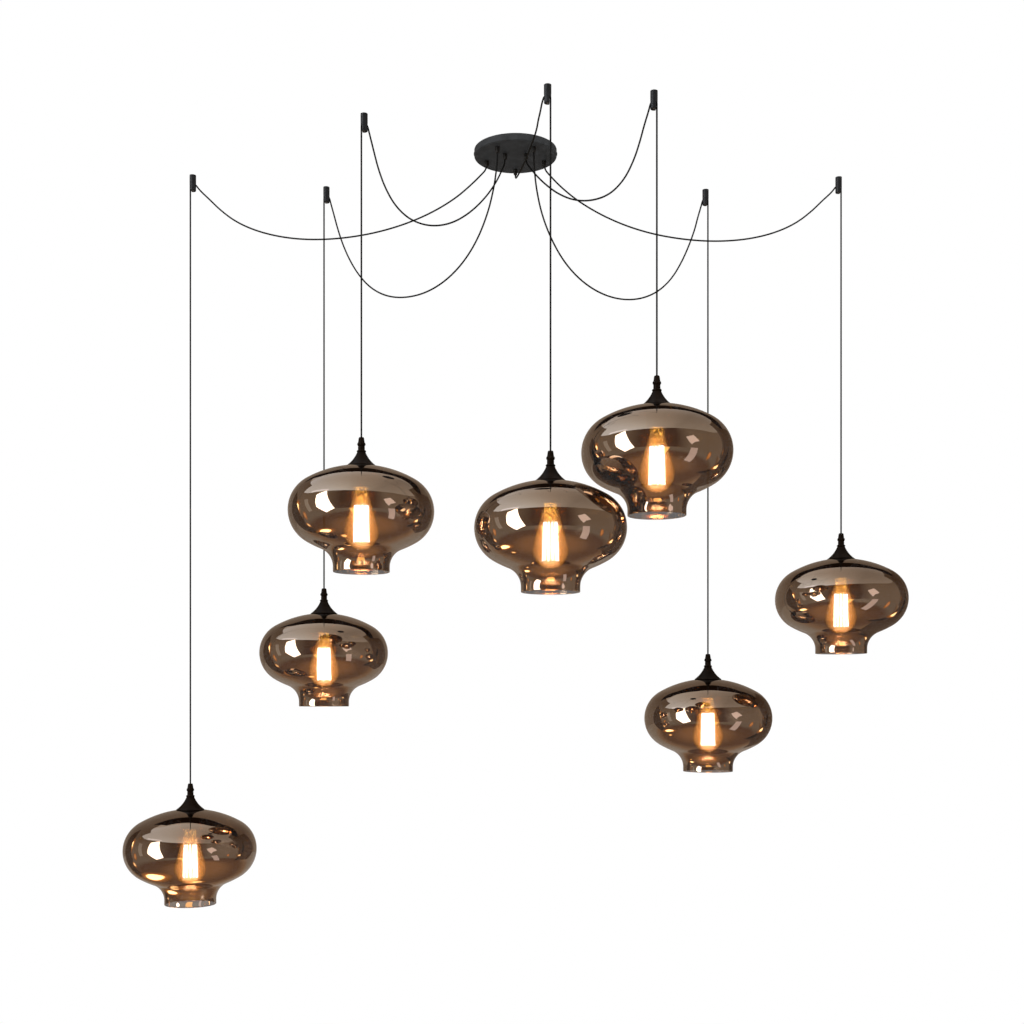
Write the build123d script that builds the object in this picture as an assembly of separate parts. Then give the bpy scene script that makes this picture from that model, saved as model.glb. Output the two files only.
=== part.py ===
# Seven-light pendant: a ceiling canopy, cords swagged to seven ceiling hooks, and seven glass shades.
# Millimetres. The ceiling is z = 0 and z runs up, the canopy's centre is x = y = 0, and y runs away
# from the viewer.
import os
from math import acos, cos, degrees, pi, radians, sin, sqrt, tan

from build123d import *

os.makedirs("parts", exist_ok=True)

# Cord
cord_d = 3.0
cord_clear = 0.2  # between the cord and a bore that it runs through
cord_in_gland = 9.0  # length of each cord inside its gland
bend_share = 0.45  # of the shorter run beside it, that each bend takes up

# Fits
seat_gap = 0.05  # between pieces that rest on each other on curved faces
slip = 0.1  # radial play of a shank in its hole
overcut = 1.0  # how far a hole's cutter runs past the faces that it opens

# Canopy
canopy_r = 80.0
canopy_h = 13.0
canopy_wall = 1.2
canopy_edge = 2.0  # rounding between the side and the underside

# Mounting bar, inside the canopy
bar_w = 18.0
bar_t = 1.5
ear_h = 11.0
ear_play = 1.0  # between an ear and the canopy's side
slot_spacing = 89.0
slot_length = 12.0
slot_w = 4.8

# Screws through the canopy's side into the bar's ears
side_screw_r = 1.9
side_screw_head_r = 3.5
side_screw_head_h = 1.0
side_screw_reach = 9.0
side_screw_z = -6.5

# Earth screw and terminal block under the bar
earth_x = 30.0
earth_shank_r = 2.0
earth_head_r = 4.0
earth_head_h = 2.6
earth_reach = 2.5
block_l = 28.0
block_w = 16.0
block_h = 7.0
block_ways = 3
block_hole_r = 1.8

# Cord glands: five on a ring and a pair nearer the middle
gland_ring_r = 59.0
gland_pair_x = 20.0
gland_pair_y = -16.0
gland_body_r = 4.2
gland_tip_r = 3.2
gland_h = 11.0
gland_taper_h = 3.5
gland_shank_r = 3.1
gland_shank_h = 5.5
gland_nut_flats = 9.0
gland_nut_h = 2.5

# Ceiling hooks: a screwed-on base, a barrel over it and a clamp screw from below
hook_r = 6.5
hook_h = 32.0
hook_edge = 0.8
base_r = 4.5
base_h = 9.0
base_hole_r = 2.15
base_sink_r = 4.0
cord_level = -17.5  # the cord's axis where it crosses the barrel
cord_slot_play = 0.3
clamp_r = 2.0
clamp_bottom = 0.6  # how far the clamp screw stays inside the barrel
clamp_gap = 0.6  # between the clamp screw's tip and the cord
clamp_slot_w = 0.8
clamp_slot_h = 1.0
drop_x = 5.0  # from the barrel's axis to the hanging cord's axis
drop_gap = 0.35  # between the hanging cord and the barrel's flat
hook_bend = 3.5  # radius of the cord's bend over the hook
bend_run = 5.2  # from the cord's level in the barrel down to its swinging end
swing_gap = 0.4  # free length between the swag and the hanging cord

# Glass shade, heights from its widest ring
shade_r = 132.5
shade_wall = 2.5
belly_arc = 64.0
dome_angle = 60.0  # where the belly's arc meets the domes
neck_r = 51.5
flare_arc = 36.0
neck_straight = 8.5

# Lamp holder, its nipple and the shade ring
holder_r = 18.5
holder_play = 0.5  # in the shade's hole
holder_below = 36.0  # below the dome's inside
holder_above = 5.0  # straight side above the dome's inside
holder_shoulder = 4.0
holder_boss_r = 7.5
holder_boss_h = 6.0
socket_depth = 29.0
nipple_r = 4.9
nipple_bore_r = 3.0
nipple_hold = 8.0  # length inside the holder
nipple_hold_grip = 6.0  # length inside the cord grip
ring_r = 27.0
ring_h = 5.0
ring_grooves = 24
ring_groove_r = 0.7

# Trumpet cap on top of the shade
cap_foot_r = 27.8
cap_top_r = 8.0
cap_h = 26.0
cap_arc = 57.0
cap_wall = 1.2
cap_lip = 2.0  # width of the foot that rests on the glass

# Cord grip
grip_collar_r = 8.5
grip_collar_h = 3.8
grip_waist_r = 6.2
grip_body_h = 11.0
grip_nut_r = 7.6
grip_nut_h = 6.6
grip_nose_r = 6.0
grip_tip_r = 4.4
grip_nose_h = 9.8

# Bulb
bulb_r = 32.0
bulb_low = -70.3
bulb_taper = 15.2  # degrees, of the side above the widest place
bulb_neck_r = 12.3
bulb_neck_arc = 30.0
bulb_glass = 0.8
base_shell_r = 13.2
base_shell_wall = 0.8
base_shell_h = 25.0
base_cup_h = 8.0
base_show = 1.0  # of the shell below the holder
base_tip_r = 5.0
base_tip_h = 2.5
socket_play = 0.4
stem_top_r = 6.5
stem_r = 2.6
stem_low = 8.0
filament_count = 8
filament_r = 0.9
filament_top_r = 12.0
filament_low_r = 14.0
filament_high = 10.0
filament_low = -56.0

cord_r = cord_d / 2
bore_r = cord_r + cord_clear
gland_tip_z = -canopy_h - gland_h
hinge_z = cord_level - bend_run - swing_gap / 2


def on_ring(angle):
    return gland_ring_r * cos(radians(angle)), gland_ring_r * sin(radians(angle))


# Each light: the gland its cord leaves, its hook on the ceiling, the hook's turn in degrees from +x to
# the side where the cord hangs, the level of the shade's widest ring, and the swag's route as (distance
# from the gland, height), then the place beside the barrel, as (distance from its axis, height), where
# the cord comes up to it, and how far from the axis it turns level.
lights = [
    {
        "gland": on_ring(162), "hook": (-656.0, 121.0), "turn": 180, "level": -1371.0,
        "route": [
            (0, -28), (11, -39), (32, -58), (63, -82), (108, -106), (160, -125), (215, -138), (270, -145),
            (325, -147), (380, -143.5), (431, -134), (478, -119), (518, -99), (550, -74), (574, -50),
        ],
        "beside": [(13.6, -30)], "level_from": 5.0,
    },
    {
        "gland": on_ring(234), "hook": (-393.0, 183.0), "turn": 180, "level": -969.0,
        "route": [
            (0, -30), (1.5, -52), (8, -90), (22, -135), (46, -181), (79, -219), (121, -247),
            (169, -262.5), (219, -264), (266, -254), (308, -231), (341, -198), (367, -160), (387, -120),
            (400, -85), (408, -60),
        ],
        "beside": [(9.7, -36)], "level_from": 5.0,
    },
    {
        "gland": (-gland_pair_x, gland_pair_y), "hook": (-276.0, -160.0), "turn": 180, "level": -723.0,
        "route": [
            (0, -29), (7, -46), (21, -74), (45, -108), (78, -142), (117, -169), (160, -182), (201, -178),
            (232, -158), (253, -128), (267, -95), (276, -64),
        ],
        "beside": [(9.7, -36)], "level_from": 5.0,
    },
    {
        "gland": on_ring(90), "hook": (55.0, -273.0), "turn": 0, "level": -769.0,
        "route": [
            (0, -26.5), (3.2, -31), (10, -33.6), (24, -36.2), (52, -40), (100, -44.2), (154, -45.8),
            (206, -44.8), (251, -42.4), (288, -39.6), (314, -36.5),
        ],
        "beside": [(9.7, -30)], "level_from": 5.0,
    },
    {
        "gland": (gland_pair_x, gland_pair_y), "hook": (242.0, -250.0), "turn": 0, "level": -633.0,
        "route": [
            (0, -28), (8, -39.5), (24, -58), (52, -86), (89, -116), (132, -140), (178, -153), (222, -153.5),
            (257, -136), (280, -107), (294, -78), (302, -57),
        ],
        "beside": [(9.7, -36)], "level_from": 5.0,
    },
    {
        "gland": on_ring(306), "hook": (398.0, 197.0), "turn": 0, "level": -1105.0,
        "route": [
            (0, -30), (1, -52), (6, -92), (19, -139), (43, -184), (75, -222), (117, -250), (166, -265.5),
            (217, -267.5), (266, -257), (310, -235), (346, -203), (374, -163), (396, -121), (411, -86),
            (419, -60),
        ],
        "beside": [(9.7, -36)], "level_from": 5.0,
    },
    {
        "gland": on_ring(18), "hook": (660.0, 131.0), "turn": 0, "level": -861.0,
        "route": [
            (0, -28), (11, -40), (32, -60), (64, -84), (109, -108), (161, -127.5), (216, -140.5),
            (272, -147), (328, -148.5), (383, -144.5), (435, -135), (483, -119.5), (524, -98.5),
            (556, -73), (579, -50),
        ],
        "beside": [(13.6, -30)], "level_from": 5.0,
    },
]


# Shared shapes
def turned(*points):
    return revolve(Plane.XZ * make_face(Polyline(*points, close=True)), Axis.Z)


def turned_outline(outline):
    return revolve(Plane.XZ * make_face(outline), Axis.Z)


def rod(radius, low, high):
    return Pos(0, 0, low) * Cylinder(radius, high - low, align=(Align.CENTER, Align.CENTER, Align.MIN))


def bowed(start, end, radius):
    # An arc between two points of a half outline, bowed towards the axis
    a = Vector(*start)
    b = Vector(*end)
    chord = b - a
    sag = radius - sqrt(radius**2 - (chord.length / 2) ** 2)
    across = Vector(-chord.Y, chord.X).normalized()
    if across.X > 0:
        across = -across
    return ThreePointArc(a, (a + b) / 2 + across * sag, b)


def save(name, *solids):
    export_step(solids[0] if len(solids) == 1 else Compound(children=list(solids)), f"parts/{name}.step")


# Canopy pan: a shallow open-topped dish with a rounded lower edge
def canopy_pan():
    inner_r = canopy_r - canopy_wall
    inner_edge = canopy_edge - canopy_wall
    floor = canopy_wall - canopy_h
    outline = (
        Line((0, -canopy_h), (canopy_r - canopy_edge, -canopy_h))
        + CenterArc((canopy_r - canopy_edge, canopy_edge - canopy_h), canopy_edge, -90, 90)
        + Line((canopy_r, canopy_edge - canopy_h), (canopy_r, 0))
        + Line((canopy_r, 0), (inner_r, 0))
        + Line((inner_r, 0), (inner_r, floor + inner_edge))
        + CenterArc((inner_r - inner_edge, floor + inner_edge), inner_edge, -90, 90)
        + Line((inner_r - inner_edge, floor), (0, floor))
        + Line((0, floor), (0, -canopy_h))
    )
    pan = turned_outline(outline)
    for light in lights:
        pan -= Pos(*light["gland"], 0) * rod(gland_shank_r + slip, -canopy_h - overcut, floor + overcut)
    for side in (-1, 1):
        hole = Cylinder(side_screw_r + slip, 2 * (canopy_wall + overcut))
        pan -= Pos(side * canopy_r, 0, side_screw_z) * Rot(0, 90, 0) * hole
    return pan


# Mounting bar: a steel strip with two ceiling slots and ears bent down at its ends
ear_x = canopy_r - canopy_wall - ear_play


def mounting_bar():
    hung = (Align.CENTER, Align.CENTER, Align.MAX)
    bar = Box(2 * ear_x, bar_w, bar_t, align=hung)
    for side in (-1, 1):
        bar += Pos(side * (ear_x - bar_t / 2), 0, 0) * Box(bar_t, bar_w, ear_h, align=hung)
        slot = extrude(SlotOverall(slot_length, slot_w), bar_t, both=True)
        bar -= Pos(side * slot_spacing / 2, 0, 0) * slot
        hole = Cylinder(side_screw_r + slip, 2 * (bar_t + overcut))
        bar -= Pos(side * ear_x, 0, side_screw_z) * Rot(0, 90, 0) * hole
    return bar - Pos(earth_x, 0, 0) * rod(earth_shank_r + slip, -bar_t - overcut, overcut)


def canopy_screws():
    screw = turned(
        (0, -side_screw_reach), (side_screw_r, -side_screw_reach), (side_screw_r, 0),
        (side_screw_head_r, 0), (side_screw_head_r, side_screw_head_h / 2),
        (side_screw_head_r / 2, side_screw_head_h), (0, side_screw_head_h),
    )
    seat_x = canopy_r + seat_gap
    return [Pos(side * seat_x, 0, side_screw_z) * Rot(0, side * 90, 0) * screw for side in (-1, 1)]


def earth_screw():
    under = -bar_t
    screw = turned(
        (0, under + earth_reach), (earth_shank_r, under + earth_reach), (earth_shank_r, under),
        (earth_head_r, under), (earth_head_r, under - earth_head_h), (0, under - earth_head_h),
    )
    # The shank ends level with the bar's upper face, so that the bar lies flat on the ceiling
    return Pos(earth_x, 0, 0) * (screw - rod(earth_shank_r + overcut, 0, earth_reach))


def terminal_block():
    hung = (Align.CENTER, Align.CENTER, Align.MAX)
    block = Pos(0, 0, -bar_t) * Box(block_l, block_w, block_h, align=hung)
    pitch = block_l / block_ways
    for way in range(block_ways):
        hole = Rot(90, 0, 0) * Cylinder(block_hole_r, 2 * block_w)
        block -= Pos((way - (block_ways - 1) / 2) * pitch, 0, -bar_t - block_h / 2) * hole
    return block


def cord_gland():
    return turned(
        (bore_r, gland_tip_z), (gland_tip_r, gland_tip_z), (gland_body_r, gland_tip_z + gland_taper_h),
        (gland_body_r, -canopy_h), (gland_shank_r, -canopy_h), (gland_shank_r, -canopy_h + gland_shank_h),
        (bore_r, -canopy_h + gland_shank_h),
    )


def gland_nut():
    floor = canopy_wall - canopy_h
    hexagon = RegularPolygon(gland_nut_flats / 2, 6, major_radius=False)
    nut = Pos(0, 0, floor) * extrude(hexagon, gland_nut_h)
    return nut - rod(gland_shank_r + slip, floor - overcut, floor + gland_nut_h + overcut)


# Hook pieces, with the hanging cord on the +x side of the barrel
def hook_base():
    sink = base_sink_r - base_hole_r
    return turned(
        (base_hole_r, 0), (base_r, 0), (base_r, -base_h), (base_sink_r, -base_h),
        (base_hole_r, sink - base_h),
    )


clamp_tip = cord_level - cord_r - clamp_gap
slot_half = cord_r + cord_slot_play


def hook_barrel():
    roof = cord_level + cord_r + slip
    bridge = cord_level - bend_run + hook_bend / 2  # lower edge of the cord's window on its way out
    flat_x = drop_x - cord_r - drop_gap
    barrel = turned(
        (0, 0), (hook_r, 0), (hook_r, hook_edge - hook_h), (hook_r - hook_edge, -hook_h), (0, -hook_h),
    )
    barrel -= rod(base_r + slip, -base_h - slip, overcut)
    barrel -= rod(clamp_r + slip, -hook_h - overcut, roof)
    low = (Align.CENTER, Align.CENTER, Align.MIN)
    barrel -= Pos(-hook_r, 0, -hook_h) * Box(2 * hook_r, 2 * slot_half, hook_h + roof, align=low)
    barrel -= Pos(hook_r, 0, bridge) * Box(2 * hook_r, 2 * slot_half, roof - bridge, align=low)
    barrel -= Pos(flat_x + hook_r, 0, -hook_h) * Box(2 * hook_r, 4 * hook_r, hook_h + bridge, align=low)
    return barrel


def hook_clamp():
    low = -hook_h + clamp_bottom
    screw = rod(clamp_r, low, clamp_tip)
    return screw - Pos(0, 0, low) * Box(4 * clamp_r, clamp_slot_w, 2 * clamp_slot_h)


def hook_out(light):
    return Vector(cos(radians(light["turn"])), sin(radians(light["turn"])))


# Swag cord: straight runs joined by tangent arcs, from inside the gland to the far side of the hook
def swag_points(light):
    gland = Vector(*light["gland"])
    hook = Vector(*light["hook"])
    out = hook_out(light)
    mouth = hook - out * light["level_from"]
    heading = (mouth - gland).normalized()
    points = [gland + Vector(0, 0, gland_tip_z + cord_in_gland)]
    points += [gland + heading * reach + Vector(0, 0, height) for reach, height in light["route"]]
    points += [hook - out * away + Vector(0, 0, height) for away, height in light["beside"]]
    points.append(mouth + Vector(0, 0, cord_level))
    bend = hook + out * drop_x
    points.append(bend + Vector(0, 0, cord_level))
    points.append(bend + Vector(0, 0, cord_level - bend_run))
    return points


def swag_cord(light):
    points = swag_points(light)
    runs = [b - a for a, b in zip(points, points[1:])]
    radii = []
    for before, after in zip(runs, runs[1:]):
        turn = radians(before.get_angle(after))
        radii.append(bend_share * min(before.length, after.length) / tan(turn / 2))
    radii[-1] = hook_bend
    path = FilletPolyline(*points, radius=radii)
    tube = sweep(Plane(origin=path @ 0, z_dir=path % 0) * Circle(cord_r), path=path)
    plain_volume = pi * cord_r**2 * path.length
    print("swag length", round(path.length, 1), "volume ratio", round(tube.volume / plain_volume, 4))
    print("  runs", [round(run.length, 1) for run in runs])
    print("  radii", [round(radius, 1) for radius in radii])
    return tube


# Shade: belly and domes as tangent arcs, flared into a straight neck with a rounded lip
belly_centre = shade_r - belly_arc
dome_drop = belly_centre * tan(radians(dome_angle))
dome_arc = belly_arc + belly_centre / cos(radians(dome_angle))
flare_centre = neck_r + flare_arc
flare_z = dome_drop - sqrt((dome_arc + flare_arc) ** 2 - flare_centre**2)
flare_angle = degrees(acos(flare_centre / (dome_arc + flare_arc)))
neck_z = flare_z - neck_straight
shade_hole_r = holder_r + holder_play


def dome_height(radius, depth=0.0):
    return sqrt((dome_arc - depth) ** 2 - radius**2) - dome_drop


def shade_side(depth):
    arc = dome_arc - depth
    top_angle = degrees(acos(shade_hole_r / arc))
    return (
        CenterArc((0, -dome_drop), arc, dome_angle, top_angle - dome_angle)
        + CenterArc((belly_centre, 0), belly_arc - depth, -dome_angle, 2 * dome_angle)
        + CenterArc((0, dome_drop), arc, -flare_angle, flare_angle - dome_angle)
        + CenterArc((flare_centre, flare_z), flare_arc + depth, 180 - flare_angle, flare_angle)
        + Line((neck_r - depth, flare_z), (neck_r - depth, neck_z))
    )


def shade():
    lip = shade_wall / 2
    hole_top = dome_height(shade_hole_r)
    hole_low = dome_height(shade_hole_r, shade_wall)
    outline = (
        shade_side(0)
        + shade_side(shade_wall)
        + Line((shade_hole_r, hole_top), (shade_hole_r, hole_low))
        + ThreePointArc((neck_r, neck_z), (neck_r - lip, neck_z - lip), (neck_r - shade_wall, neck_z))
    )
    return turned_outline(outline)


# Lamp holder, hung in the shade's hole from its nipple
holder_seat = dome_height(holder_r, shade_wall)
holder_low = holder_seat - holder_below
holder_side = holder_seat + holder_above
holder_top = holder_side + holder_shoulder
boss_top = holder_top + holder_boss_h
socket_r = base_shell_r + socket_play


def holder_body():
    socket_top = holder_low + socket_depth
    return turned(
        (socket_r, holder_low), (holder_r, holder_low), (holder_r, holder_side),
        (holder_r - holder_shoulder, holder_top), (holder_boss_r, holder_top), (holder_boss_r, boss_top),
        (nipple_r + slip, boss_top), (nipple_r + slip, socket_top), (socket_r, socket_top),
    )


def shade_ring():
    top = dome_height(ring_r, shade_wall) - seat_gap
    low = top - ring_h
    ring = rod(ring_r, low, top) - rod(holder_r + slip, low - overcut, top + overcut)
    return ring - PolarLocations(ring_r, ring_grooves) * rod(ring_groove_r, low - overcut, top + overcut)


# Cap and cord grip, stacked on the nipple above the holder
cap_foot_z = dome_height(cap_foot_r - cap_lip) + seat_gap
cap_top_z = cap_foot_z + cap_h


def nipple():
    low = boss_top - nipple_hold
    top = cap_top_z + nipple_hold_grip
    return rod(nipple_r, low, top) - rod(nipple_bore_r, low - overcut, top + overcut)


def cap():
    foot = (cap_foot_r, cap_foot_z)
    top = (cap_top_r, cap_top_z)
    inner_foot = (cap_foot_r - cap_lip, cap_foot_z)
    inner_top = (cap_top_r - cap_wall, cap_top_z - cap_wall)
    hole_r = nipple_r + slip
    outline = (
        bowed(foot, top, cap_arc)
        + Line(top, (hole_r, cap_top_z))
        + Line((hole_r, cap_top_z), (hole_r, cap_top_z - cap_wall))
        + Line((hole_r, cap_top_z - cap_wall), inner_top)
        + bowed(inner_top, inner_foot, cap_arc + cap_wall)
        + Line(inner_foot, foot)
    )
    return turned_outline(outline)


grip_joint = cap_top_z + grip_body_h
grip_top = grip_joint + grip_nut_h + grip_nose_h


def grip_body():
    collar_top = cap_top_z + grip_collar_h
    socket_top = cap_top_z + nipple_hold_grip + slip
    bead = grip_collar_h / 2
    points = [
        (grip_collar_r - bead, collar_top), (grip_waist_r, collar_top + bead), (grip_waist_r, grip_joint),
        (bore_r, grip_joint), (bore_r, socket_top), (nipple_r + slip, socket_top),
        (nipple_r + slip, cap_top_z), (grip_collar_r - bead, cap_top_z),
    ]
    outline = Polyline(*points) + CenterArc((grip_collar_r - bead, cap_top_z + bead), bead, -90, 180)
    return turned_outline(outline)


def grip_nut():
    nut_top = grip_joint + grip_nut_h
    points = [
        (grip_nose_r, nut_top), (grip_tip_r, grip_top), (bore_r, grip_top), (bore_r, grip_joint),
        (grip_nose_r, grip_joint),
    ]
    belly = (grip_nut_r, grip_joint + grip_nut_h / 2)
    return turned_outline(Polyline(*points) + ThreePointArc(points[-1], belly, points[0]))


# Bulb: a drop-shaped envelope in a screw base, with a cage of filaments on its stem
base_low = holder_low - base_show
bulb_centre = bulb_low + bulb_r


def envelope_side(depth):
    # The round end, the tapered side tangent to it, and the neck that the side is eased into
    taper = radians(bulb_taper)
    round_r = bulb_r - depth
    neck = bulb_neck_r - depth
    ease = (bulb_neck_arc + depth) * tan(taper / 2)
    side = (round_r * cos(taper) - neck) / sin(taper)
    corner_z = bulb_centre + round_r * sin(taper) + side * cos(taper)
    tangent = (round_r * cos(taper), bulb_centre + round_r * sin(taper))
    ease_low = (neck + ease * sin(taper), corner_z - ease * cos(taper))
    ease_high = (neck, corner_z + ease)
    neck_top = (neck, base_low + base_cup_h - seat_gap)
    return (
        CenterArc((0, bulb_centre), round_r, -90, 90 + bulb_taper)
        + Line(tangent, ease_low)
        + bowed(ease_low, ease_high, bulb_neck_arc + depth)
        + Line(ease_high, neck_top)
    )


def bulb_envelope():
    neck_top = base_low + base_cup_h - seat_gap
    outline = (
        envelope_side(0)
        + envelope_side(bulb_glass)
        + Line((bulb_neck_r, neck_top), (bulb_neck_r - bulb_glass, neck_top))
        + Line((0, bulb_low), (0, bulb_low + bulb_glass))
    )
    return turned_outline(outline)


def bulb_base():
    cup_top = base_low + base_cup_h
    shell_top = base_low + base_shell_h
    cup_r = base_shell_r - base_shell_wall
    return turned(
        (cup_r, base_low), (base_shell_r, base_low), (base_shell_r, shell_top - base_tip_h),
        (base_tip_r, shell_top), (base_tip_r, shell_top + base_tip_h), (0, shell_top + base_tip_h),
        (0, cup_top), (cup_r, cup_top),
    )


def filament_cage():
    stem_top = base_low + base_cup_h
    cage = turned(
        (0, stem_low), (stem_r, stem_low), (stem_r, stem_top - 2 * stem_top_r), (stem_top_r, stem_top),
        (0, stem_top),
    )
    cage += rod(filament_r, filament_low - filament_r, stem_top - stem_top_r)
    drop = filament_high - filament_low
    spread = filament_low_r - filament_top_r
    length = sqrt(drop**2 + spread**2)
    lean = degrees(acos(drop / length))
    for step in range(filament_count):
        turn = Rot(0, 0, step * 360 / filament_count)
        middle = Pos((filament_top_r + filament_low_r) / 2, 0, (filament_high + filament_low) / 2)
        cage += turn * middle * Rot(0, -lean, 0) * Cylinder(filament_r, length)
        for out, height in ((filament_top_r, filament_high), (filament_low_r, filament_low)):
            cage += turn * Pos(out / 2, 0, height) * Rot(0, 90, 0) * Cylinder(filament_r / 2, out)
    return cage


def drop_cord(level):
    low = boss_top - nipple_hold + slip
    return rod(cord_r, level + low, hinge_z - swing_gap / 2)


# Pieces fixed to the ceiling
gland_places = [Pos(*light["gland"], 0) for light in lights]
hook_places = [Pos(*light["hook"], 0) * Rot(0, 0, light["turn"]) for light in lights]
save("canopy_pan", canopy_pan())
save("mounting_bar", mounting_bar())
save("canopy_screws", *canopy_screws())
save("earth_screw", earth_screw())
save("terminal_block", terminal_block())
for name, piece, places in (
    ("cord_glands", cord_gland(), gland_places),
    ("gland_nuts", gland_nut(), gland_places),
    ("hook_bases", hook_base(), hook_places),
    ("hook_barrels", hook_barrel(), hook_places),
    ("hook_clamps", hook_clamp(), hook_places),
):
    save(name, *[place * piece for place in places])

# Pieces of each hanging light
light_pieces = {
    "cord_grip": [grip_body(), grip_nut()],
    "cap": [cap()],
    "shade": [shade()],
    "lamp_holder": [holder_body(), nipple(), shade_ring()],
    "bulb": [bulb_envelope(), bulb_base(), filament_cage()],
}
for number, light in enumerate(lights, 1):
    hang = Vector(*light["hook"]) + hook_out(light) * drop_x
    hung_at = Pos(hang) * Pos(0, 0, light["level"])
    save(f"swag_cord_{number}", swag_cord(light))
    save(f"drop_cord_{number}", Pos(hang) * drop_cord(light["level"]))
    for name, solids in light_pieces.items():
        save(f"{name}_{number}", *[hung_at * solid for solid in solids])
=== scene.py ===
from math import acos, atan2, cos, degrees, pi, radians, sin, sqrt, tan

import bpy
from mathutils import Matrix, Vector


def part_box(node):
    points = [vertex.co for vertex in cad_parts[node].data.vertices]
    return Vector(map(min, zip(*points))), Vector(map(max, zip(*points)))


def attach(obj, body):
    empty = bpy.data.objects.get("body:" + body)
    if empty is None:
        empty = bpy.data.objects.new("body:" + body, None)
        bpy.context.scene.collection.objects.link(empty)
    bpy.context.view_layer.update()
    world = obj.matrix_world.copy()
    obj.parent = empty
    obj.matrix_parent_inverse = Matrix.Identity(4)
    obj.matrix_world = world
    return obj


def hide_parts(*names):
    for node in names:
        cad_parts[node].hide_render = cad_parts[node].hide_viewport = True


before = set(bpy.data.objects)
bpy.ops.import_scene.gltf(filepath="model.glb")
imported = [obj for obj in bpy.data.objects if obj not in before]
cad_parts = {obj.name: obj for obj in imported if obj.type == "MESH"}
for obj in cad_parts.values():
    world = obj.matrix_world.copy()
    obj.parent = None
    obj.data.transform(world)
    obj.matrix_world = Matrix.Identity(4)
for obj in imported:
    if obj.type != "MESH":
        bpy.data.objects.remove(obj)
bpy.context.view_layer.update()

scene = bpy.context.scene
scene.view_settings.view_transform = "Standard"


# Camera, level, with the frame shifted up to take in the canopy
cameraSettings = {
    "lens": 46.27,
    "sensor": 36.0,
    "place": (-0.0068, -2.556, -1.067),
    "frameLift": 0.1836,
    "farthest": 60,
}


def clearSelection():
    bpy.ops.object.select_all(action="DESELECT")


def placeCamera():
    clearSelection()
    bpy.ops.object.camera_add(location=cameraSettings["place"], rotation=(pi / 2, 0, 0))
    camera = bpy.context.object
    camera.name = "photoCamera"
    camera.data.sensor_width = cameraSettings["sensor"]
    camera.data.lens = cameraSettings["lens"]
    camera.data.shift_y = cameraSettings["frameLift"]
    camera.data.clip_end = cameraSettings["farthest"]
    scene.camera = camera


placeCamera()
print("camera placed")


# Cords: one swag from the canopy to each hook, one drop from the hook to the lamp holder
cordSettings = {
    "diameter": 0.003,
    "fullness": 1.06,  # makes up for the flats of the faceted tube
    "startHeight": -0.015,  # inside the gland
    "glandTip": -0.024,
    "hookLevel": -0.0175,  # where the cord crosses the hook barrel
    "bendDrop": 0.0052,  # from there down to the swinging end
    "levelFrom": 0.005,  # from the barrel's axis to the place where the cord turns level
    "hangOffset": 0.005,  # from the barrel's axis to the hanging cord
    "straightNearHook": 0.018,  # six diameters
    "glandRing": 0.059,
}


def onRing(angle):
    return cordSettings["glandRing"] * cos(radians(angle)), cordSettings["glandRing"] * sin(radians(angle))


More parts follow.
